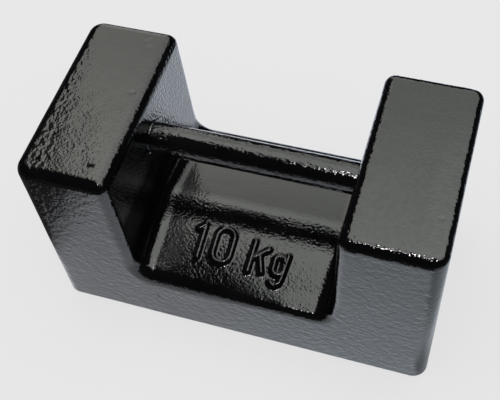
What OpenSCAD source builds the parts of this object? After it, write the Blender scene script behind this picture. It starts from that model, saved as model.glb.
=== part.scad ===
// Rectangular bar test weight, nominal value 10 kg.
// Cast iron block with two uprights, a cast-in tubular hand grip between them,
// and an adjusting cavity inside the grip that opens at the right end face.
// X runs along the length, Y through the depth (front is -Y), Z is up.
// The origin is the centre of the underside.

/* [Block] */
// Length over the uprights, measured at the top
body_l = 190; // [180:0.5:200]
// Depth front to back, measured at the top
body_w = 95; // [90:0.5:100]
// Overall height
body_h = 109; // [105:0.5:113]
// Thickness of each upright, measured at the top
upright_t = 44.7; // [42:0.1:47]
// Mould draft of the outer faces, in mm per mm of height
draft = 0.012; // [0.005:0.001:0.02]
// Rounding of the outer vertical edges
corner_r = 7.4; // [6.5:0.1:9]
// Rounding of the top edges
top_r = 5.4; // [4:0.1:6]
// Rounding of the bottom edges
foot_r = 1.3; // [0.5:0.1:2]

/* [Gap] */
// Draft of the inner walls, so that the gap is narrower at its floor
gap_draft = 0.026; // [0.01:0.001:0.05]
// Height of the low ridge that runs across the gap, along its floor
ridge_z = 47; // [44:0.1:50]
// Radius of the rounded ridge
ridge_r = 26; // [20:1:40]
// Tilt of the floor beside the ridge, in degrees
roof_a = 7.5; // [6:0.1:9]
// Radius to which the floor's front half is crowned
crown_front = 240; // [200:1:400]
// Radius to which the floor's back half is crowned
crown_back = 400; // [300:5:500]
// Fillet between the floor and the inner walls
fillet_r = 8; // [6:0.1:10]
// Rounding of the gap's vertical edges at the front and back faces
gap_side_r = 5.1; // [4:0.1:7]
// Rounding of the floor's front and back edges
gap_floor_r = 4.5; // [3:0.1:6]

/* [Grip] */
// Outside diameter of the tubular grip
grip_d = 15.2; // [15:0.1:17]
// Bore of the grip, which is the adjusting cavity
grip_bore_d = 11.2; // [11:0.1:12]
// Height of the grip's axis above the base
grip_z = 87.5; // [84:0.1:91]
// Distance from the middle of the block to each end of the tube
grip_half = 83; // [75:0.5:84]
// Thickness of the disc that shuts the tube's blind end
end_disc_t = 3; // [2:0.5:5]

/* [Closure] */
// Radial clearance between the screw plug and its hole
plug_gap = 0.05; // [0.02:0.01:0.1]
// Length of the screw plug
plug_t = 8.2; // [6.8:0.1:8.2]
// Thread pitch of the screw plug
plug_pitch = 1.5; // [1:0.25:1.5]
// Width of the screwdriver slot
slot_w = 2.4; // [1.5:0.1:3]
// Diameter of the lead seal's recess in the end face
recess_d = 20; // [19:0.5:24]
// Radial clearance between the lead seal and its recess
seal_gap = 0.05; // [0.02:0.01:0.1]
// Thickness of the lead seal
seal_t = 3.0; // [2:0.1:3.2]

/* [Adjusting shot] */
// Diameter of one ball of lead shot
shot_d = 5; // [4.6:0.1:5]
// Number of layers of shot along the cavity, three balls in each
shot_layers = 20; // [8:1:28]

/* [Raised value] */
// Height of the raised figures above the floor
mark_h = 1.2; // [0.6:0.1:1.5]
// Width of their strokes
mark_w = 3.2; // [2.4:0.1:3.6]

/* [Hidden] */

// half length, half depth and inner wall position at height z
function hx(z) = body_l / 2 + draft * (body_h - z);
function hy(z) = body_w / 2 + draft * (body_h - z);
function ix(z) = body_l / 2 - upright_t - gap_draft * (body_h - z);

// floor height of the gap: a rounded ridge, and a crowned slope on each side of it
ridge_half = ridge_r * sin(roof_a);
ridge_drop = ridge_r * (1 - cos(roof_a));
function crown(y) = y < 0 ? crown_front : crown_back;
function tilt_sine(y) = sin(roof_a) + (abs(y) - ridge_half) / crown(y);
function floor_z(y) =
    abs(y) <= ridge_half
        ? ridge_z - ridge_r + sqrt(ridge_r * ridge_r - y * y)
        : ridge_z - ridge_drop - crown(y) * (cos(roof_a) - sqrt(1 - pow(tilt_sine(y), 2)));
// distance from the middle of the block to the faces at the floor's edges
edge_y = hy(ridge_z - 10);

// one horizontal ring of the outer block: a rounded rectangle inset by o at height z
corner_n = 6;
function ring(z, o) = [
    for (q = [0 : 3]) for (k = [0 : corner_n])
        let (a = q * 90 + k * 90 / corner_n, r = corner_r - o,
             sx = (q == 0 || q == 3) ? 1 : -1, sy = (q < 2) ? 1 : -1)
        [sx * (hx(z) - corner_r) + r * cos(a), sy * (hy(z) - corner_r) + r * sin(a), z]
];

// rows of points joined into one closed skin
module skin(rows) {
    n = len(rows[0]);
    m = len(rows);
    polyhedron(
        points = [for (r = rows) for (p = r) p],
        faces = concat(
            [[for (i = [0 : n - 1]) i]],
            [for (j = [0 : m - 2]) for (i = [0 : n - 1]) let (k = (i + 1) % n) [j * n + i, (j + 1) * n + k, j * n + k]],
            [for (j = [0 : m - 2]) for (i = [0 : n - 1]) let (k = (i + 1) % n) [j * n + i, (j + 1) * n + i, (j + 1) * n + k]],
            [[for (i = [n - 1 : -1 : 0]) (m - 1) * n + i]]
        ),
        convexity = 6
    );
}

module outer_block() {
    rows = concat(
        [for (k = [0 : 3]) let (a = k * 30) ring(foot_r * (1 - cos(a)), foot_r * (1 - sin(a)))],
        [for (k = [0 : 6]) let (a = 90 - k * 15) ring(body_h - top_r * (1 - cos(a)), top_r * (1 - sin(a)))]
    );
    skin(rows);
}

// outline of the gap in an XZ section. The floor is at height zf; walls and floor
// are moved outwards by ow and dz, which flares the gap towards the outer faces
wall_a = atan(gap_draft);
function half_outline(zf, ow, dz) =
    let (f = fillet_r + (ow + dz) / 2,
         tx = ix(body_h - top_r) + ow + top_r,
         fx = ix(zf - dz + f) + ow - f / cos(wall_a))
    concat(
        [[tx, body_h + 12]],
        [for (k = [0 : 6]) let (a = 90 + k * 15) [tx + top_r * cos(a), body_h - top_r + top_r * sin(a)]],
        [for (k = [0 : 6]) let (a = -wall_a - k * (90 - wall_a) / 6) [fx + f * cos(a), zf - dz + f + f * sin(a)]]
    );
function mirrored(h) = [for (i = [len(h) - 1 : -1 : 0]) [-h[i][0], h[i][1]]];
function outline(zf, ow, dz) = let (h = half_outline(zf, ow, dz)) concat(h, mirrored(h));

// section of the gap a distance d inside the front (s = -1) or back (s = 1) face
mouth_d = 5.2;
function mouth(s, a) =
    let (d = mouth_d * (1 - cos(a)), e = 1 - sin(a))
    [for (p = outline(floor_z(s * (edge_y - d)), gap_side_r * e, gap_floor_r * e))
        [p[0], s * (hy(p[1]) - d), p[1]]];
function across(y) = [for (p = outline(floor_z(y), 0, 0)) [p[0], y, p[1]]];
function outside(s) = [for (p = outline(floor_z(s * edge_y), gap_side_r, gap_floor_r)) [p[0], s * (body_w / 2 + 20), p[1]]];

// rows along one slope, from the ridge outwards, short of the rounded edge
slope_n = 6;
slope_run = edge_y - mouth_d - 3 - ridge_half;
function slope_y(k) = ridge_half + slope_run * k / slope_n;

module gap() {
    skin(concat(
        [outside(-1)],
        [for (k = [0 : 6]) mouth(-1, k * 15)],
        [for (k = [slope_n : -1 : 1]) across(-slope_y(k))],
        [for (k = [-4 : 4]) across(ridge_r * sin(roof_a * k / 4))],
        [for (k = [1 : slope_n]) across(slope_y(k))],
        [for (k = [6 : -1 : 0]) mouth(1, k * 15)],
        [outside(1)]
    ));
}

// a round-ended stroke along a path of points, as one outline
function unit(a, b) = (b - a) / norm(b - a);
function left(v) = [-v[1], v[0]];
function side_at(p, i) =
    let (n = len(p),
         u = i == 0 ? unit(p[0], p[1]) : i == n - 1 ? unit(p[n - 2], p[n - 1])
             : unit([0, 0], unit(p[i - 1], p[i]) + unit(p[i], p[i + 1])))
    left(u);
function cap(c, dir, w) = let (a0 = atan2(dir[1], dir[0]))
    [for (k = [1 : 5]) c + w / 2 * [cos(a0 + 90 - k * 30), sin(a0 + 90 - k * 30)]];
module stroke(p, w = mark_w) {
    n = len(p);
    polygon(concat(
        [for (i = [0 : n - 1]) p[i] + w / 2 * side_at(p, i)],
        cap(p[n - 1], unit(p[n - 2], p[n - 1]), w),
        [for (i = [n - 1 : -1 : 0]) p[i] - w / 2 * side_at(p, i)],
        cap(p[0], unit(p[1], p[0]), w)
    ));
}
// an oval band, for the round parts of the figures
module band(c, a, b, w = mark_w) {
    difference() {
        polygon([for (k = [0 : 23]) c + [(a + w / 2) * cos(k * 15), (b + w / 2) * sin(k * 15)]]);
        polygon([for (k = [0 : 23]) c + [(a - w / 2) * cos(k * 15), (b - w / 2) * sin(k * 15)]]);
    }
}

// the figures stand on a base line at y = 0
module value_10kg() {
    // one
    stroke([[-25.2, 17.4], [-22.3, 20], [-22.3, 3]]);
    // nought
    band([-10.9, 11.7], 4.45, 8.65);
    // k
    stroke([[4.2, 17.3], [3.9, 2]]);
    stroke([[11.8, 14.7], [5, 9]]);
    stroke([[7.9, 10.9], [10.6, 2.9]]);
    // g
    band([18.2, 7.6], 2.6, 4.8, 2.8);
    stroke([[21.8, 13.5], [20.9, 2], [20.3, -0.2], [18.9, -1.7], [17.5, -1.9], [16.3, -0.9]], 2.8);
}

mark_y = -35.8;
mark_top_y = -18;
mark_tilt = atan2(floor_z(mark_top_y) - floor_z(mark_y), mark_top_y - mark_y);
module raised_value() {
    translate([0, mark_y, floor_z(mark_y)])
        rotate([mark_tilt, 0, 0])
            translate([0, 0, -1.8]) linear_extrude(mark_h + 1.8) value_10kg();
}

module along_x(x, z = grip_z) {
    translate([x, 0, z]) rotate([0, 90, 0]) children();
}

// seats inside the right upright, outside the end of the tube
plug_d = grip_d - 2 * plug_gap;
plug_x = grip_half + 0.1;
recess_x = plug_x + plug_t + 0.05;
seal_x = recess_x + 0.05;
grip_fn = 96;

module body_casting() {
    color([0.05, 0.05, 0.055])
    difference() {
        union() {
            difference() {
                outer_block();
                gap();
            }
            raised_value();
        }
        // the hole left by the tube, running on as the tapped hole of the plug
        along_x(-grip_half) cylinder(d = grip_d, h = grip_half + recess_x, $fn = grip_fn);
        along_x(recess_x) cylinder(d = recess_d, h = 20, $fn = grip_fn);
    }
}

module handle_tube() {
    color([0.06, 0.06, 0.065])
    along_x(-grip_half) difference() {
        cylinder(d = grip_d, h = 2 * grip_half, $fn = grip_fn);
        translate([0, 0, -1]) cylinder(d = grip_bore_d, h = 2 * grip_half + 2, $fn = grip_fn);
    }
}

module tube_end_disc() {
    color([0.45, 0.46, 0.48])
    along_x(-grip_half) cylinder(d = grip_bore_d, h = end_disc_t, $fn = grip_fn);
}

// the shot lies in the lower part of the bore: two balls side by side, one on top
shot_step = shot_d + 0.1;
shot_ry = shot_step / 2;
shot_rz = sqrt(pow((grip_bore_d - shot_d) / 2 - 0.02, 2) - shot_ry * shot_ry);
module adjusting_shot() {
    color([0.36, 0.37, 0.39])
    for (i = [0 : shot_layers - 1]) {
        x = -grip_half + end_disc_t + shot_d / 2 + 1.5 + i * shot_step;
        for (s = [-1, 1]) translate([x, s * shot_ry, grip_z - shot_rz]) sphere(d = shot_d, $fn = 32);
        translate([x, 0, grip_z - shot_rz + shot_step * sin(60)]) sphere(d = shot_d, $fn = 32);
    }
}

module closing_plug() {
    color([0.71, 0.57, 0.27])
    along_x(plug_x) difference() {
        rotate_extrude($fn = grip_fn) polygon(concat(
            [[0, 0], [plug_d / 2 - 0.9, 0], [plug_d / 2, 0.9]],
            // thread, drawn as plain V grooves
            [for (k = [0 : 3]) for (p = [[0, 0.25], [-0.6, 0.6], [0, 0.95]]) [plug_d / 2 + p[0], 0.9 + k * plug_pitch + p[1]]],
            [[plug_d / 2, plug_t - 0.3], [plug_d / 2 - 0.3, plug_t], [0, plug_t]]
        ));
        translate([-plug_d, -slot_w / 2, plug_t - 2.6]) cube([2 * plug_d, slot_w, 5]);
    }
}

module lead_seal() {
    r = recess_d / 2 - seal_gap;
    color([0.47, 0.48, 0.5])
    along_x(seal_x) rotate_extrude($fn = grip_fn) polygon([
        [0, 0], [r, 0], [r, seal_t - 0.5], [r - 0.5, seal_t],
        [r - 3.4, seal_t], [r - 4.4, seal_t - 0.6], [0, seal_t - 0.8]
    ]);
}

body_casting();
handle_tube();
tube_end_disc();
adjusting_shot();
closing_plug();
lead_seal();
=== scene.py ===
import math

import bpy
import numpy as np
from mathutils import Matrix, Vector


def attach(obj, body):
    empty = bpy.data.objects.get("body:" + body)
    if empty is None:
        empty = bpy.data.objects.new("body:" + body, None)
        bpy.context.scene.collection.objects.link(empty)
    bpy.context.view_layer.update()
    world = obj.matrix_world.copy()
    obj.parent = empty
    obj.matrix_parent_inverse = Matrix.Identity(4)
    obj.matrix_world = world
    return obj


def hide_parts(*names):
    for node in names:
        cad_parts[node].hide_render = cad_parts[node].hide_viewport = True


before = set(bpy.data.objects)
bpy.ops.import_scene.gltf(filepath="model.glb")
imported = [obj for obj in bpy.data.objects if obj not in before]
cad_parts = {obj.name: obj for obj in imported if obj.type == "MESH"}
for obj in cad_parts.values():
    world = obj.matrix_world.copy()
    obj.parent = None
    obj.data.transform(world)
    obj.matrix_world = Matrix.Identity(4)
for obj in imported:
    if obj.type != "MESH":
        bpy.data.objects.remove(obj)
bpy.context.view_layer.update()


scene = bpy.context.scene
MM = 0.001

# ---------------------------------------------------------------- the shape, in millimetres
# The same dimensions as the CAD model's, so each face lies where the frame has it.
HALF_L, HALF_W, HEIGHT = 95.0, 47.5, 109.0
UPRIGHT = 44.7
DRAFT, GAP_DRAFT = 0.012, 0.026
CORNER_R, TOP_R, FOOT_R = 7.4, 5.4, 1.3
FILLET_R, SIDE_R = 8.0, 5.1
RIDGE_Z, RIDGE_R, ROOF = 47.0, 26.0, math.radians(7.5)
CROWN_FRONT, CROWN_BACK = 240.0, 400.0
GRIP_Z, GRIP_R, BORE_R, GRIP_HALF = 87.5, 7.6, 5.6, 83.0
PLUG_X, PLUG_T, PLUG_R = 83.1, 8.2, 7.55
RECESS_X, RECESS_R = 91.35, 10.0
SEAL_X, SEAL_R, SEAL_T = 91.4, 9.95, 3.0


def rmax(a, b, r):
    """The overlap of two solids, its edge rounded with radius r."""
    return np.minimum(np.maximum(a + r, b + r), 0.0) + np.hypot(np.maximum(a + r, 0.0), np.maximum(b + r, 0.0)) - r


def smooth(lo, hi, v):
    t = np.clip((v - lo) / (hi - lo), 0.0, 1.0)
    return t * t * (3.0 - 2.0 * t)


def value_noise(p, cell, seed):
    """Smooth seeded noise from 0 to 1. cell is the size of one lump, one number or one per axis."""
    table = np.random.default_rng(seed).random((24, 24, 24))
    q = p / np.asarray(cell, float) + 500.0
    i = np.floor(q).astype(np.int64)
    u = q - i
    u = u * u * u * (u * (u * 6.0 - 15.0) + 10.0)
    i %= 24
    j = (i + 1) % 24
    out = 0.0
    for a in (0, 1):
        for b in (0, 1):
            for c in (0, 1):
                w = (u[..., 0] if a else 1 - u[..., 0]) * (u[..., 1] if b else 1 - u[..., 1]) * (u[..., 2] if c else 1 - u[..., 2])
                out = out + w * table[(j if a else i)[..., 0], (j if b else i)[..., 1], (j if c else i)[..., 2]]
    return out


# the gap's floor is a low roof: a rounded ridge and two slopes that grow a little steeper towards their lips
RIDGE_HALF = RIDGE_R * math.sin(ROOF)
RIDGE_DROP = RIDGE_R * (1.0 - math.cos(ROOF))


def floor_height(y):
    ay = np.abs(y)
    ridge = RIDGE_Z - RIDGE_R + np.sqrt(RIDGE_R**2 - np.minimum(ay, RIDGE_HALF) ** 2)
    crown = np.where(y < 0, CROWN_FRONT, CROWN_BACK)
    s = math.sin(ROOF) + np.maximum(ay - RIDGE_HALF, 0.0) / crown
    slope = RIDGE_Z - RIDGE_DROP - crown * (math.cos(ROOF) - np.sqrt(1.0 - s * s))
    return np.where(ay < RIDGE_HALF, ridge, slope)


def floor_steepness(y):
    """The cosine of the floor's tilt."""
    ay = np.abs(y)
    s = np.where(ay < RIDGE_HALF, ay / RIDGE_R, math.sin(ROOF) + (ay - RIDGE_HALF) / np.where(y < 0, CROWN_FRONT, CROWN_BACK))
    return np.sqrt(1.0 - s * s)


# the raised value, as strokes on the front slope: paths of points and ovals, in x and in distance up the slope
BASE_Y, UP = -35.8, math.cos(math.radians(12.0))
PATHS = [
    [(-25.3, 17.5), (-23.9, 18.6), (-22.3, 20.3), (-22.3, 3.0)],
    [(4.2, 17.3), (3.9, 2.0)],
    [(11.8, 14.7), (5.0, 9.0)],
    [(7.9, 10.9), (10.6, 2.9)],
    [(21.8, 13.5), (20.9, 2.0), (20.3, -0.2), (18.9, -1.7), (17.5, -1.9), (16.3, -0.9)],
]
OVALS = [((-10.9, 11.7), (4.45, 8.65)), ((18.3, 8.0), (2.5, 4.6))]
BEAD_W, BEAD_H = 2.35, 1.25


def segment(px, py, a, b):
    ax, ay = a
    bx, by = b
    t = np.clip(((px - ax) * (bx - ax) + (py - ay) * (by - ay)) / ((bx - ax) ** 2 + (by - ay) ** 2), 0.0, 1.0)
    return np.hypot(px - ax - t * (bx - ax), py - ay - t * (by - ay))


def rounded_loop(px, py, c, half):
    """Distance to the centre line of a tall ring: straight sides and round ends."""
    r = half[0]
    q = np.abs(py - c[1]) - (half[1] - r)
    return np.abs(np.hypot(px - c[0], np.maximum(q, 0.0)) - r)


def bead(x, y):
    """How far the raised value stands over the slope."""
    out = np.zeros_like(x)
    near = (x > -29) & (x < 27.5) & (y < -14) & (y > -46)
    px, py = x[near], (y[near] - BASE_Y) / UP
    d = np.full_like(px, 99.0)
    for path in PATHS:
        for a, b in zip(path, path[1:]):
            d = np.minimum(d, segment(px, py, a, b))
    for c, half in OVALS:
        d = np.minimum(d, rounded_loop(px, py, c, half))
    t = np.clip(d / BEAD_W, 0.0, 1.0)
    out[near] = BEAD_H * (0.5 + 0.5 * np.cos(math.pi * t)) ** 0.85
    return out


def tube_field(x, y, z, r=GRIP_R):
    return np.hypot(y, z - GRIP_Z) - r


def casting(p):
    """Signed distance to the casting, negative inside, with plain faces."""
    x, y, z = p[..., 0], p[..., 1], p[..., 2]
    hx = HALF_L + DRAFT * (HEIGHT - z)
    hy = HALF_W + DRAFT * (HEIGHT - z)
    ix = HALF_L - UPRIGHT - GAP_DRAFT * (HEIGHT - z)
    side = rmax(np.abs(x) - hx, np.abs(y) - hy, CORNER_R)
    gap = -rmax(np.abs(x) - ix, (floor_height(y) - z) * floor_steepness(np.clip(y, -49, 49)) + bead(x, y), FILLET_R)
    # a small fillet of enamel where the tube enters each wall
    tube = tube_field(x, y, z)
    gap = np.where(np.abs(x) < 60, -rmax(-gap, -tube, 0.5), gap)
    # the front lip is fuller on the left than on the right
    lip = np.where(y < 0, 5.8 - 2.6 * smooth(-25, 30, x), 4.5)
    lip = lip + (SIDE_R - lip) * smooth(42, 56, z)
    out = rmax(side, gap, lip)
    # the top edge is tighter along the right end, and widens again round its corners
    u, v = np.maximum(x - hx + CORNER_R, 0.0), np.maximum(np.abs(y) - hy + CORNER_R, 0.0)
    out = rmax(out, z - HEIGHT, TOP_R - 2.0 * smooth(0.1, 1.0, u / (np.hypot(u, v) + 1e-6)))
    out = rmax(out, -z, FOOT_R)
    out = np.maximum(out, -np.maximum(np.maximum(tube, x - RECESS_X - 1.0), -GRIP_HALF - x))
    recess = np.maximum(tube_field(x, y, z, RECESS_R), RECESS_X - x)
    return rmax(out, -recess, 0.7)


# shallow casting marks: (x, y, z, radius, depth)
PITS = [
    (-60.8, -36.3, 109, 1.1, 0.24), (-59.8, -31.0, 109, 0.9, 0.18), (-60.3, -27.7, 109, 0.9, 0.2), (-62.4, 38.8, 109, 1.0, 0.2),
    (-59.9, 35.3, 109, 0.9, 0.18), (-57.8, 6.6, 109, 1.2, 0.26), (-71.6, 13.6, 109, 0.9, 0.16), (87.0, 33.0, 109, 0.9, 0.2),
    (88.5, -25.5, 109, 1.1, 0.2), (28.6, -22.5, 49, 1.0, 0.2), (25.4, -38.5, 46, 0.9, 0.2), (-25.5, -40.5, 45.8, 1.0, 0.2),
    (12.0, 22.0, 49, 0.9, 0.18), (74.5, -48.3, 36, 1.1, 0.2), (66.0, -48.3, 58, 0.9, 0.16), (-40.0, -48.4, 21, 0.9, 0.16),
]


def roughness_map(p):
    """Where the casting is lumpy: 1 on the left upright's outer front, low on the right upright's top."""
    x, y, z = p[..., 0], p[..., 1], p[..., 2]
    left = smooth(-48, -88, x) * smooth(30, -10, y) * smooth(45, 80, z)
    return 0.25 + 0.75 * left


def lumps(p):
    """How far the cast and enamelled surface lies inside the plain faces: always 0 or more."""
    amount = roughness_map(p)
    out = 0.10 * value_noise(p, 17.0, 3) + 0.07 * value_noise(p, 7.5, 4) * amount + 0.035 * value_noise(p, 3.6, 5) * amount
    for x, y, z, r, depth in PITS:
        d2 = (p[..., 0] - x) ** 2 + (p[..., 1] - y) ** 2 + (p[..., 2] - z) ** 2
        out = out + depth * np.exp(-d2 / (0.55 * r * r))
    # nothing on the machined recess and the bore
    return out * smooth(0.0, 1.6, np.abs(tube_field(p[..., 0], p[..., 1], p[..., 2], RECESS_R)) + 4.0 * (p[..., 0] < 80))


def casting_surface(p):
    return casting(p) + lumps(p)


def slope_of(field, p, e=0.05):
    g = np.empty_like(p)
    for a in range(3):
        d = np.zeros(3)
        d[a] = e
        g[:, a] = (field(p + d) - field(p - d)) / (2 * e)
    return g


def surface_net(field, xs, ys, zs):
    """Quads around the zero level of a field sampled on an uneven grid."""
    X, Y, Z = np.meshgrid(xs, ys, zs, indexing="ij")
    P = np.stack([X, Y, Z], -1)
    F = np.concatenate([field(P[i : i + 16]) for i in range(0, len(xs), 16)])
    F[F == 0] = 1e-9
    S = F < 0
    n = [len(xs) - 1, len(ys) - 1, len(zs) - 1]
    total = sum(S[a : a + n[0], b : b + n[1], c : c + n[2]].astype(np.int8) for a in (0, 1) for b in (0, 1) for c in (0, 1))
    mixed = (total > 0) & (total < 8)
    index = np.full(mixed.shape, -1, np.int64)
    index[mixed] = np.arange(mixed.sum())
    acc = np.zeros((mixed.sum(), 3))
    cnt = np.zeros(mixed.sum())
    quads = []
    for axis in range(3):
        lo = [slice(None)] * 3
        hi = [slice(None)] * 3
        lo[axis] = slice(0, -1)
        hi[axis] = slice(1, None)
        A, B = F[tuple(lo)], F[tuple(hi)]
        cross = np.argwhere((A < 0) != (B < 0))
        a, b = A[tuple(cross.T)], B[tuple(cross.T)]
        t = a / (a - b)
        p0 = P[tuple(cross.T)]
        nxt = cross.copy()
        nxt[:, axis] += 1
        at = p0 + t[:, None] * (P[tuple(nxt.T)] - p0)
        u, v = (axis + 1) % 3, (axis + 2) % 3
        ring = []
        for du, dv in ((-1, -1), (0, -1), (0, 0), (-1, 0)):
            c = cross.copy()
            c[:, u] += du
            c[:, v] += dv
            ok = np.all((c >= 0) & (c < n), axis=1)
            i = np.full(len(c), -1, np.int64)
            i[ok] = index[tuple(c[ok].T)]
            np.add.at(acc, i[ok], at[ok])
            np.add.at(cnt, i[ok], 1)
            ring.append(i)
        q = np.stack(ring, 1)
        q[a > 0] = q[a > 0][:, ::-1]
        quads.append(q[np.all(q >= 0, axis=1)])
    return acc / cnt[:, None], np.concatenate(quads)


def settle(field, p, quads, relax=3, limit=1.2):
    """Moves the points onto the field's zero level, evening out the quads on the way."""

    def onto(p):
        for _ in range(3):
            g = slope_of(field, p)
            g2 = np.maximum((g * g).sum(1), 1e-6)
            p = p - (np.clip(field(p) / np.sqrt(g2), -limit, limit) / np.sqrt(g2))[:, None] * g
        return p

    p = onto(p)
    a = quads.ravel()
    b = np.roll(quads, -1, axis=1).ravel()
    for _ in range(relax):
        total = np.zeros_like(p)
        count = np.zeros(len(p))
        np.add.at(total, a, p[b])
        np.add.at(total, b, p[a])
        np.add.at(count, a, 1)
        np.add.at(count, b, 1)
        g = slope_of(field, p)
        g /= np.maximum(np.linalg.norm(g, axis=1), 1e-6)[:, None]
        move = total / count[:, None] - p
        move -= (move * g).sum(1)[:, None] * g
        p = onto(p + 0.4 * move)
    g = slope_of(field, p)
    return p, g / np.maximum(np.linalg.norm(g, axis=1), 1e-6)[:, None]


def spaced(*stretches):
    """Grid positions: (end, step) for each stretch after the first number."""
    out = [stretches[0]]
    for end, step in stretches[1:]:
        n = max(1, round((end - out[-1]) / step))
        out += list(np.linspace(out[-1], end, n + 1)[1:])
    return np.array(out)


def make_piece(name, points, faces, normals=None, material=None, body=None, stands_for=None):
    mesh = bpy.data.meshes.new(name)
    mesh.from_pydata((np.asarray(points) * MM).tolist(), [], np.asarray(faces).tolist() if not isinstance(faces, list) else faces)
    mesh.validate()
    mesh.update()
    mesh.polygons.foreach_set("use_smooth", [True] * len(mesh.polygons))
    if normals is not None and len(normals) == len(mesh.vertices):
        mesh.normals_split_custom_set_from_vertices([tuple(v) for v in normals.tolist()])
    obj = bpy.data.objects.new(name, mesh)
    scene.collection.objects.link(obj)
    if material is not None:
        mesh.materials.append(material)
    if body:
        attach(obj, body)
    if stands_for:
        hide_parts(stands_for)
    return obj


# ---------------------------------------------------------------- materials
def new_material(name):
    m = bpy.data.materials.new(name)
    m.use_nodes = True
    tree = m.node_tree
    return m, tree, tree.nodes["Principled BSDF"]


class Nodes:
    """Short ways to add nodes to one material."""

    def __init__(self, tree):
        self.t = tree

    def add(self, kind, **values):
        n = self.t.nodes.new(kind)
        for k, v in values.items():
            setattr(n, k, v)
        return n

    def put(self, socket, value):
        if isinstance(value, bpy.types.NodeSocket):
            self.t.links.new(value, socket)
        else:
            socket.default_value = value

    def math(self, op, a, b=0.0, c=0.0, clamp=False):
        n = self.add("ShaderNodeMath", operation=op, use_clamp=clamp)
        for s, v in zip(n.inputs, (a, b, c)):
            self.put(s, v)
        return n.outputs[0]

    def noise(self, vector, scale, detail=2.0, rough=0.5, distort=0.0):
        n = self.add("ShaderNodeTexNoise")
        self.put(n.inputs["Vector"], vector)
        n.inputs["Scale"].default_value = scale
        n.inputs["Detail"].default_value = detail
        n.inputs["Roughness"].default_value = rough
        n.inputs["Distortion"].default_value = distort
        return n.outputs[0]

    def stretch(self, vector, sx, sy, sz):
        n = self.add("ShaderNodeVectorMath", operation="MULTIPLY")
        self.put(n.inputs[0], vector)
        n.inputs[1].default_value = (sx, sy, sz)
        return n.outputs[0]

    def ramp(self, value, lo, hi, out_lo=0.0, out_hi=1.0):
        n = self.add("ShaderNodeMapRange", interpolation_type="SMOOTHSTEP")
        for key, v in (("Value", value), ("From Min", lo), ("From Max", hi), ("To Min", out_lo), ("To Max", out_hi)):
            self.put(n.inputs[key], v)
        return n.outputs[0]

    def mix(self, factor, a, b):
        n = self.add("ShaderNodeMix", data_type="RGBA")
        self.put(n.inputs[0], factor)
        for s, v in ((n.inputs[6], a), (n.inputs[7], b)):
            self.put(s, v if isinstance(v, bpy.types.NodeSocket) else (*v, 1.0))
        return n.outputs[2]

    def bump(self, height, distance, strength=1.0, normal=None):
        n = self.add("ShaderNodeBump")
        self.put(n.inputs["Height"], height)
        n.inputs["Distance"].default_value = distance
        self.put(n.inputs["Strength"], strength)
        if normal is not None:
            self.put(n.inputs["Normal"], normal)
        return n.outputs["Normal"]


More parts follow.
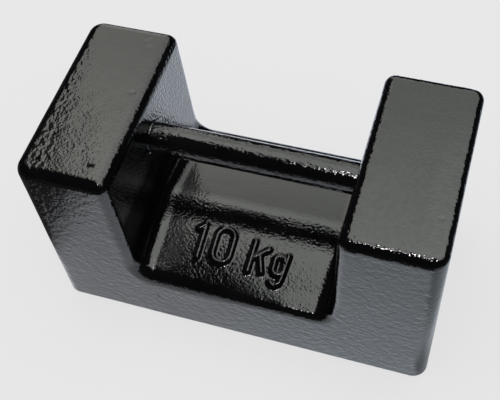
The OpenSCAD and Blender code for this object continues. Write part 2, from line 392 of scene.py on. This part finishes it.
def enamel(name, lumpy=1.0, tube=False):
    """Black gloss enamel on cast iron: orange peel, sags, small pits, dust and a painted sheen on the tops, lumpier
    on the left upright.
    """
    m, tree, shader = new_material(name)
    k = Nodes(tree)
    at = k.add("ShaderNodeTexCoord").outputs["Object"]
    xyz = k.add("ShaderNodeSeparateXYZ")
    k.put(xyz.inputs[0], at)
    x, y, z = xyz.outputs
    facing = k.add("ShaderNodeSeparateXYZ")
    k.put(facing.inputs[0], k.add("ShaderNodeNewGeometry").outputs["Normal"])
    up = k.ramp(facing.outputs[2], 0.35, 0.75)

    # orange peel, in two sizes
    peel = k.noise(k.stretch(at, 0.6, 1.0, 1.0) if tube else at, 760.0, 1.5, 0.5)
    coarse = k.noise(k.stretch(at, 1.0, 0.75, 1.0), 470.0, 1.5, 0.5)
    fine = k.noise(at, 2300.0, 1.0, 0.5)
    # where it is lumpy: most along the left upright's outer edge and high on its inner wall, least on the tops
    where = k.ramp(k.noise(at, 28.0, 2.0), 0.3, 0.7, 0.7, 1.3)
    rough_part = 0.0
    if not tube:
        along = k.math("ADD", x, k.math("MULTIPLY", y, 0.13))
        left = k.math("MULTIPLY", k.ramp(along, -0.0808, -0.0948), k.ramp(z, 0.050, 0.085))
        tops = k.math("MULTIPLY", k.ramp(facing.outputs[2], 0.97, 0.998), k.ramp(z, 0.099, 0.105))
        inner = k.math("MULTIPLY", k.ramp(facing.outputs[0], 0.6, 0.9), k.ramp(x, 0.0, -0.03))
        inner = k.math("MULTIPLY", inner, k.math("MULTIPLY", k.ramp(y, 0.0, 0.015), k.ramp(z, 0.060, 0.080)))
        # the right part of the front slope is calmer
        calm = k.math("MULTIPLY", k.ramp(x, -0.020, 0.005), k.ramp(y, -0.0345, -0.0400))
        calm = k.math("MULTIPLY", calm, k.math("MULTIPLY", k.ramp(facing.outputs[2], 0.90, 0.94), k.ramp(z, 0.060, 0.050)))
        rims = k.math("MULTIPLY", k.ramp(facing.outputs[2], 0.25, 0.55), k.ramp(facing.outputs[2], 0.998, 0.97))
        rims = k.math("MULTIPLY", rims, k.math("MULTIPLY", k.ramp(z, 0.099, 0.103), k.ramp(x, 0.02, 0.04)))
        amount = k.math("SUBTRACT", 0.30, k.math("MULTIPLY", tops, 0.18))
        amount = k.math("SUBTRACT", amount, k.math("MULTIPLY", calm, 0.22))
        ridge = k.math("MULTIPLY", k.ramp(y, -0.024, -0.016), k.math("MULTIPLY", k.ramp(facing.outputs[2], 0.93, 0.97), k.ramp(z, 0.060, 0.050)))
        amount = k.math("SUBTRACT", amount, k.math("MULTIPLY", ridge, 0.10))
        amount = k.math("ADD", amount, k.math("MULTIPLY", inner, 0.55))
        where = k.math("MULTIPLY", where, amount)
        rough_part = k.math("MAXIMUM", left, k.math("MULTIPLY", rims, 0.45))
        # painted sheen: the tops' pale film, stronger towards the front and along the right edge
        sheen_film = k.math("MULTIPLY", tops, k.ramp(y, 0.045, -0.045, 0.3, 1.25))
        edge = k.math("MULTIPLY", tops, k.math("MULTIPLY", k.ramp(x, 0.0800, 0.0855), k.ramp(y, 0.030, 0.0)))
        front = k.ramp(facing.outputs[1], -0.85, -0.97)
    if tube:
        # thick lumpy enamel where the tube enters the left upright
        where = k.math("MULTIPLY", where, k.ramp(x, -0.030, -0.044, 1.0, 2.3))
        where = k.math("MULTIPLY", where, k.ramp(x, -0.005, 0.020, 1.0, 0.8))
    where = k.math("MULTIPLY", where, lumpy)

    # pits, a few millimetres to centimetres apart
    dots = k.add("ShaderNodeTexVoronoi", feature="F1")
    k.put(dots.inputs["Vector"], at)
    dots.inputs["Scale"].default_value = 105.0
    chosen = k.add("ShaderNodeSeparateColor")
    k.put(chosen.inputs[0], dots.outputs["Color"])
    pit = k.math("MULTIPLY", k.ramp(dots.outputs["Distance"], 0.075, 0.0), k.math("GREATER_THAN", chosen.outputs[0], 0.8))

    normal = k.bump(peel, 0.0006, where)
    if not tube:
        normal = k.bump(coarse, 0.0007, rough_part, normal)
        normal = k.bump(k.noise(k.stretch(at, 0.8, 1.0, 1.0), 330.0, 1.5), 0.0003, front, normal)
    normal = k.bump(fine, 0.000018, 0.8, normal)
    normal = k.bump(pit, 0.00016, 1.0, k.bump(k.noise(at, 90.0, 1.0), 0.0003, 0.4, normal))
    # bump nodes read the height's rise; a pit is a fall
    tree.nodes[-1].invert = False
    k.put(shader.inputs["Normal"], normal)

    shade = k.ramp(k.noise(at, 45.0, 3.0), 0.35, 0.7)
    color = k.mix(shade, (0.0016, 0.0017, 0.002), (0.003, 0.003, 0.0034))
    if not tube:
        # dust and a painted sheen on the tops: a pale film, stronger towards the front and along the right edge
        dust_and_sheen = k.math("MULTIPLY", sheen_film, k.ramp(k.noise(k.stretch(at, 1.0, 0.7, 1.0), 420.0, 4.0, 0.6), 0.3, 0.75))
        dust_and_sheen = k.math("ADD", k.math("MULTIPLY", dust_and_sheen, 0.75), k.math("MULTIPLY", edge, 0.4), clamp=True)
        color = k.mix(dust_and_sheen, color, (0.0165, 0.0175, 0.0165))
    k.put(shader.inputs["Base Color"], color)
    gloss = k.ramp(k.noise(at, 70.0, 4.0, 0.6), 0.3, 0.75, 0.03, 0.075)
    k.put(shader.inputs["Roughness"], gloss)
    if not tube:
        # painted shade: the inner walls reflect less below the tube, so they are darker there
        wall_shade = k.math("MULTIPLY", k.ramp(k.math("ABSOLUTE", facing.outputs[0]), 0.93, 0.99), k.ramp(k.math("ABSOLUTE", x), 0.060, 0.054))
        wall_shade = k.math("MULTIPLY", wall_shade, k.math("MULTIPLY", k.ramp(z, 0.084, 0.074), k.ramp(y, 0.004, -0.008)))
        k.put(shader.inputs["Specular IOR Level"], k.math("SUBTRACT", 0.5, k.math("MULTIPLY", wall_shade, 0.48)))
    shader.inputs["IOR"].default_value = 1.5
    shader.inputs["Metallic"].default_value = 0.0
    return m


def metal(name, color_a, color_b, rough_lo, rough_hi, scratches=0.0, dents=0.0):
    m, tree, shader = new_material(name)
    k = Nodes(tree)
    at = k.add("ShaderNodeTexCoord").outputs["Object"]
    k.put(shader.inputs["Base Color"], k.mix(k.ramp(k.noise(at, 420.0, 4.0, 0.6), 0.35, 0.65), color_a, color_b))
    k.put(shader.inputs["Roughness"], k.ramp(k.noise(at, 700.0, 3.0), 0.3, 0.7, rough_lo, rough_hi))
    shader.inputs["Metallic"].default_value = 1.0
    normal = k.bump(k.noise(at, 900.0, 2.0), 0.00003, 0.6)
    if scratches:
        normal = k.bump(k.noise(k.stretch(at, 1.0, 0.12, 2.2), 1500.0, 2.0, 0.6), scratches, 1.0, normal)
    if dents:
        normal = k.bump(k.noise(at, 330.0, 1.0), dents, 1.0, normal)
    k.put(shader.inputs["Normal"], normal)
    return m


mat_casting = enamel("enamelled_iron_mat")
mat_tube = enamel("enamelled_tube_mat", 0.42, True)
mat_steel = metal("bare_steel_mat", (0.30, 0.30, 0.31), (0.44, 0.43, 0.42), 0.3, 0.5)
mat_shot = metal("lead_shot_mat", (0.16, 0.165, 0.18), (0.26, 0.265, 0.28), 0.45, 0.65)
mat_brass = metal("plug_brass_mat", (0.50, 0.34, 0.13), (0.66, 0.48, 0.20), 0.22, 0.4, scratches=0.00001)
mat_lead = metal("seal_lead_mat", (0.20, 0.205, 0.22), (0.33, 0.335, 0.35), 0.38, 0.6, scratches=0.000012, dents=0.00012)

# ---------------------------------------------------------------- the casting
xs = spaced(-97.2, (-87.5, 0.9), (-57.0, 2.3), (-39.5, 1.15), (-28.0, 1.7), (26.0, 0.5), (39.5, 1.7), (57.0, 1.15), (87.5, 2.3), (97.2, 0.85))
ys = spaced(-49.5, (-41.8, 0.75), (-15.5, 0.55), (-11.0, 1.3), (11.0, 1.1), (41.8, 1.75), (49.5, 0.85))
zs = spaced(-0.6, (2.4, 0.5), (30.0, 2.1), (57.0, 1.05), (77.0, 2.1), (98.6, 1.1), (109.6, 0.8))
points, quads = surface_net(casting, xs, ys, zs)
points, normals = settle(casting_surface, points, quads)
body = make_piece("casting", points, quads, normals, mat_casting, "casting", "body_casting")

# ---------------------------------------------------------------- the grip
def lathe(profile, segments, closed=False):
    """Rings around the grip's axis: profile is a list of (x, radius) or of arrays of radii by angle."""
    a = np.linspace(0, 2 * math.pi, segments, endpoint=False)
    rings = []
    for x, r in profile:
        r = np.broadcast_to(r, a.shape)
        rings.append(np.stack([np.broadcast_to(x, a.shape), r * np.sin(a), GRIP_Z + r * np.cos(a)], 1))
    pts = np.concatenate(rings)
    faces = []
    m = len(rings)
    for j in range(m if closed else m - 1):
        k0, k1 = j * segments, ((j + 1) % m) * segments
        i = np.arange(segments)
        n = (i + 1) % segments
        faces.append(np.stack([k0 + i, k0 + n, k1 + n, k1 + i], 1))
    return pts, np.concatenate(faces)


SEG = 144
ang = np.linspace(0, 2 * math.pi, SEG, endpoint=False)
along = spaced(-GRIP_HALF, (-54.0, 5.0), (-50.0, 0.8), (-47.0, 0.2), (54.0, 0.9), (GRIP_HALF, 5.0))
profile = []
for x in along:
    p = np.stack([np.full(SEG, x), GRIP_R * np.sin(ang), GRIP_R * np.cos(ang)], 1)
    shown = smooth(53.0, 50.0, abs(x))
    dip = shown * (0.07 * value_noise(p, (16, 6, 6), 21) + 0.045 * value_noise(p, (6, 3.4, 3.4), 22) + 0.02 * value_noise(p, 2.2, 23))
    # a thin ring where the enamel runs out at the left upright
    dip = dip + 0.13 * math.exp(-(((x + 48.6) / 0.3) ** 2))
    profile.append((x, GRIP_R - 0.01 - dip))
profile += [(GRIP_HALF, BORE_R + 0.4), (GRIP_HALF - 0.4, BORE_R), (-GRIP_HALF + 0.4, BORE_R), (-GRIP_HALF, BORE_R + 0.4)]
pts, faces = lathe(profile, SEG, closed=True)
grip = make_piece("grip_tube", pts, faces, None, mat_tube, "casting", "handle_tube")

# ---------------------------------------------------------------- the closing plug
def plug_field(p):
    x, y, z = p[..., 0] - PLUG_X, p[..., 1], p[..., 2] - GRIP_Z
    r = np.hypot(y, z)
    turn = np.arctan2(z, y) / (2 * math.pi)
    phase = (x / 1.5 - turn) % 1.0
    groove = 0.62 * (1.0 - np.abs(phase - 0.5) * 2.0) * smooth(0.5, 1.0, x) * smooth(PLUG_T - 0.5, PLUG_T - 1.1, x)
    out = rmax(r - PLUG_R + groove, x - PLUG_T, 0.35)
    out = rmax(out, -x, 0.7)
    slot = np.maximum(np.abs(y) - 1.2, PLUG_T - 2.6 - x)
    return rmax(out, -slot, 0.15)


gx = spaced(PLUG_X - 0.3, (PLUG_X + PLUG_T + 0.3, 0.2))
gr = spaced(-8.2, (8.2, 0.24))
pts, faces = surface_net(plug_field, gx, gr, gr + GRIP_Z)
pts, nrm = settle(plug_field, pts, faces, relax=1, limit=0.2)
plug = make_piece("closing_plug_turned", pts, faces, nrm, mat_brass, "plug", "closing_plug")

# ---------------------------------------------------------------- the lead seal
SEG = 112
ang = np.linspace(0, 2 * math.pi, SEG, endpoint=False)
outline = [(0.0, 0.02), (0.0, 0.5), (0.0, SEAL_R - 0.6), (0.25, SEAL_R - 0.12), (0.6, SEAL_R), (SEAL_T - 0.75, SEAL_R), (SEAL_T - 0.35, SEAL_R - 0.12), (SEAL_T - 0.1, SEAL_R - 0.4)]
outline += [(SEAL_T, r) for r in (SEAL_R - 0.8, SEAL_R - 1.4, SEAL_R - 2.1, SEAL_R - 2.8)]
outline += [(SEAL_T - 0.12, SEAL_R - 3.3), (SEAL_T - 0.34, SEAL_R - 3.8), (SEAL_T - 0.56, SEAL_R - 4.3)]
outline += [(SEAL_T - 0.62 - 0.02 * i, r) for i, r in enumerate((5.0, 4.2, 3.4, 2.6, 1.8, 1.0, 0.35, 0.02))]
profile = []
for dx, r in outline:
    x = SEAL_X + dx
    if dx > SEAL_T - 0.8 and r < SEAL_R - 0.3:
        p = np.stack([np.full(SEG, x), r * np.sin(ang), r * np.cos(ang)], 1)
        x = x - 0.16 * value_noise(p, 3.0, 41) - 0.07 * value_noise(p, 1.3, 42)
    profile.append((x, r))
pts, faces = lathe(profile, SEG)
first, last = list(range(SEG)), list(range(len(pts) - SEG, len(pts)))
faces = faces[:, ::-1].tolist() + [first, last[::-1]]
seal = make_piece("lead_seal_peened", pts, faces, None, mat_lead, "seal", "lead_seal")

for node, material in (("tube_end_disc", mat_steel), ("adjusting_shot", mat_shot)):
    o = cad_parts[node]
    if o.material_slots:
        for s in o.material_slots:
            s.material = material
    else:
        o.data.materials.append(material)

# ---------------------------------------------------------------- floor, lights, camera
def floor_material():
    m, tree, shader = new_material("floor_mat")
    k = Nodes(tree)
    at = k.add("ShaderNodeTexCoord").outputs["Object"]
    k.put(shader.inputs["Base Color"], k.mix(k.noise(at, 900.0, 2.0), (0.115, 0.115, 0.115), (0.13, 0.13, 0.13)))
    shader.inputs["Roughness"].default_value = 1.0
    shader.inputs["Specular IOR Level"].default_value = 0.0
    # lit a little from below, so that the object's shadow stays faint
    shader.inputs["Emission Color"].default_value = (1.0, 1.0, 1.0, 1.0)
    shader.inputs["Emission Strength"].default_value = 0.67
    return m


mesh = bpy.data.meshes.new("floor")
S = 2.2
mesh.from_pydata([(-S, -S, 0), (S, -S, 0), (S, S, 0), (-S, S, 0)], [], [(0, 1, 2, 3)])
floor = bpy.data.objects.new("floor", mesh)
scene.collection.objects.link(floor)
mesh.materials.append(floor_material())


def glow_material():
    """The table as the gloss sees it: a lit card under the object, brighter on the right, and little light around it."""
    m = bpy.data.materials.new("table_glow_mat")
    m.use_nodes = True
    tree = m.node_tree
    tree.nodes.clear()
    k = Nodes(tree)
    at = k.add("ShaderNodeSeparateXYZ")
    k.put(at.inputs[0], k.add("ShaderNodeTexCoord").outputs["Object"])
    x, y, z = at.outputs
    lit = k.math("MULTIPLY", k.ramp(x, -0.133, -0.102), k.ramp(x, 0.30, 0.20))
    lit = k.math("MULTIPLY", lit, k.math("MULTIPLY", k.ramp(y, -0.235, -0.195), k.ramp(y, 0.34, 0.20)))
    # less light right beside the right end face
    beside = k.math("MULTIPLY", k.ramp(x, 0.090, 0.096), k.ramp(x, 0.116, 0.101))
    beside = k.math("MULTIPLY", beside, k.math("MULTIPLY", k.ramp(y, -0.062, -0.050), k.ramp(y, 0.075, 0.050)))
    lit = k.math("MULTIPLY", lit, k.math("SUBTRACT", 1.0, k.math("MULTIPLY", beside, 0.65)))
    lit = k.math("MULTIPLY", lit, k.ramp(x, 0.100, 0.130, 1.0, 0.5))
    dark = k.math("SUBTRACT", 1.0, lit)
    clear = k.add("ShaderNodeBsdfTransparent")
    k.put(clear.inputs[0], k.mix(dark, (1.0, 1.0, 1.0), (0.07, 0.07, 0.07)))
    glow = k.add("ShaderNodeEmission")
    k.put(glow.inputs[0], k.mix(k.ramp(x, -0.08, 0.09), (0.19, 0.21, 0.28), (0.31, 0.41, 0.51)))
    k.put(glow.inputs[1], k.math("MULTIPLY", lit, k.ramp(y, 0.02, 0.09, 1.0, 1.9)))
    both = k.add("ShaderNodeAddShader")
    k.put(both.inputs[0], clear.outputs[0])
    k.put(both.inputs[1], glow.outputs[0])
    k.put(k.add("ShaderNodeOutputMaterial").inputs[0], both.outputs[0])
    return m


mesh = bpy.data.meshes.new("table_glow")
S = 2.2
mesh.from_pydata([(-S, -S, 0.0004), (S, -S, 0.0004), (S, S, 0.0004), (-S, S, 0.0004)], [], [(0, 1, 2, 3)])
glow = bpy.data.objects.new("table_glow", mesh)
scene.collection.objects.link(glow)
mesh.materials.append(glow_material())
glow.visible_camera = glow.visible_diffuse = glow.visible_shadow = False


# a plain pale backdrop beyond the floor's edge, which only the camera sees
m = bpy.data.materials.new("backdrop_mat")
m.use_nodes = True
m.node_tree.nodes.clear()
k = Nodes(m.node_tree)
pale = k.add("ShaderNodeEmission")
pale.inputs[0].default_value = (1.0, 1.0, 1.0, 1.0)
pale.inputs[1].default_value = 0.8
k.put(k.add("ShaderNodeOutputMaterial").inputs[0], pale.outputs[0])
ring = [(2.15 * math.cos(math.radians(5 * i)), 2.15 * math.sin(math.radians(5 * i))) for i in range(72)]
mesh = bpy.data.meshes.new("backdrop")
mesh.from_pydata([(x, y, z) for z in (-0.05, 3.0) for x, y in ring], [], [(72 + i, 72 + (i + 1) % 72, (i + 1) % 72, i) for i in range(72)])
backdrop = bpy.data.objects.new("backdrop", mesh)
scene.collection.objects.link(backdrop)
mesh.materials.append(m)
backdrop.visible_glossy = backdrop.visible_diffuse = backdrop.visible_shadow = False


def panel(name, centre, size, radiance, aim=(0, 0, 0.06), color=(1, 1, 1), glossy=True):
    """An area light of a given radiance, facing a point."""
    light = bpy.data.lights.new(name, "AREA")
    light.shape = "RECTANGLE"
    light.size, light.size_y = size
    light.energy = radiance * math.pi * size[0] * size[1]
    light.color = color
    obj = bpy.data.objects.new(name, light)
    scene.collection.objects.link(obj)
    obj.location = centre
    if aim is not None:
        obj.rotation_mode = "QUATERNION"
        obj.rotation_quaternion = (Vector(aim) - Vector(centre)).to_track_quat("-Z", "Y")
    obj.visible_glossy = glossy
    obj.visible_camera = False
    return obj


# what the gloss shows: a pale ceiling that narrows towards the back on its right, one strip lamp and a bit of wall
m = bpy.data.materials.new("ceiling_mat")
m.use_nodes = True
m.node_tree.nodes.clear()
k = Nodes(m.node_tree)
at = k.add("ShaderNodeSeparateXYZ")
k.put(at.inputs[0], k.add("ShaderNodeTexCoord").outputs["Object"])
lamp = k.add("ShaderNodeEmission")
k.put(lamp.inputs[0], k.mix(k.ramp(at.outputs[0], -0.6, -0.05), (0.985, 1.0, 0.92), (0.96, 1.0, 0.955)))
bright = k.math("ADD", k.ramp(at.outputs[1], 0.35, 1.05, 3.25, 1.75), k.ramp(at.outputs[1], 1.0, 1.4, 0.0, 0.22))
k.put(lamp.inputs[1], k.math("MULTIPLY", bright, k.ramp(at.outputs[0], -0.1, -0.6, 1.0, 1.1)))
k.put(k.add("ShaderNodeOutputMaterial").inputs[0], lamp.outputs[0])
edge = [(-0.10, -0.36), (0.78, -0.36), (0.74, 0.60), (0.66, 1.00), (0.30, 1.60), (0.0, 2.60), (-1.44, 2.60), (-0.85, 0.98)]
edge += [(-0.70, 0.74), (-0.625, 0.54), (-0.46, 0.11), (-0.25, 0.06), (-0.215, -0.10), (-0.15, -0.23)]
mesh = bpy.data.meshes.new("ceiling")
mesh.from_pydata([(x, y, 1.109) for x, y in edge], [], [tuple(range(len(edge)))[::-1]])
ceiling = bpy.data.objects.new("ceiling", mesh)
scene.collection.objects.link(ceiling)
mesh.materials.append(m)
ceiling.visible_camera = ceiling.visible_diffuse = ceiling.visible_shadow = False
strip = panel("strip_lamp", (0.003, -0.42, 1.109), (0.122, 0.050), 165.0, aim=None, color=(1.0, 0.95, 0.97))
wall = panel("rear_wall", (-0.75, 1.49, 0.36), (0.55, 0.72), 1.4, aim=(-0.07, 0.05, 0.30))
strip.visible_diffuse = wall.visible_diffuse = False
# what lights the floor evenly
panel("overhead", (0.0, 0.0, 1.60), (3.0, 3.0), 2.1, aim=None, glossy=False)

world = bpy.data.worlds.new("studio")
scene.world = world
world.use_nodes = True
wt = world.node_tree
wt.nodes["Background"].inputs["Color"].default_value = (0.012, 0.012, 0.013, 1)
wt.nodes["Background"].inputs["Strength"].default_value = 1.0

cam_data = bpy.data.cameras.new("camera")
cam = bpy.data.objects.new("camera", cam_data)
scene.collection.objects.link(cam)
scene.camera = cam
cam_data.sensor_fit = "HORIZONTAL"
cam_data.sensor_width = 36.0
cam_data.lens = 861.662 / 500.0 * 36.0
cam_data.shift_x = 0.00663
cam_data.shift_y = 0.02910
cam_data.clip_start = 0.01
cam_data.clip_end = 20.0
right = Vector((0.95178, 0.29724, -0.07597)).normalized()
down = Vector((0.21180, -0.81577, -0.53820))
ahead = right.cross(down).normalized()
down = ahead.cross(right).normalized()
cam.matrix_world = Matrix.Translation(Vector((0.090155, -0.217680, 0.404206))) @ Matrix((right, -down, -ahead)).transposed().to_4x4()

scene.view_settings.view_transform = "Standard"
scene.view_settings.look = "None"
scene.view_settings.exposure = 0.0
scene.view_settings.gamma = 1.0

bpy.context.view_layer.update()
